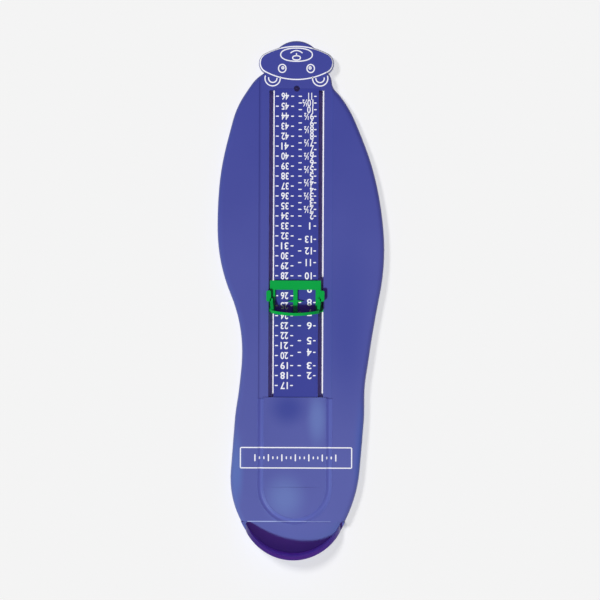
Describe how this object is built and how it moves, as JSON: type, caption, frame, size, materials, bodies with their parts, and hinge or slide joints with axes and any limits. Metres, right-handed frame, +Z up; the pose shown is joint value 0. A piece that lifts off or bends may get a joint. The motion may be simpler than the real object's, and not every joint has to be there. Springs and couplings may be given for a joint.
{
  "type": "foot measuring device",
  "caption": "Foot-shaped moulded plate with an arched heel wall, a printed size strip between slots and a sliding toe stop with pointers.",
  "frame": {"origin": "middle of the bounding box's underside, on the table", "axes": "+Y from the heel wall to the toe end, +X to the right seen from above with the toes away, +Z up"},
  "size_m": [0.1116, 0.345, 0.0258],
  "materials": {
    "plate_blue": "semi-gloss",
    "strip_blue": "satin",
    "slider_green": "semi-gloss"
  },
  "bodies": {
    "plate": {"base_plate": "plate_blue", "heel_cup": "plate_blue", "scale_strip": "strip_blue"},
    "slider": {"toe_slider": "slider_green", "slider_keeper": "slider_green"}
  },
  "joints": [
    {"name": "toe_stop_slide", "type": "slide", "parent": "plate", "child": "slider", "axis": [0, 1, 0], "range_m": [-0.057, 0.137]}
  ]
}
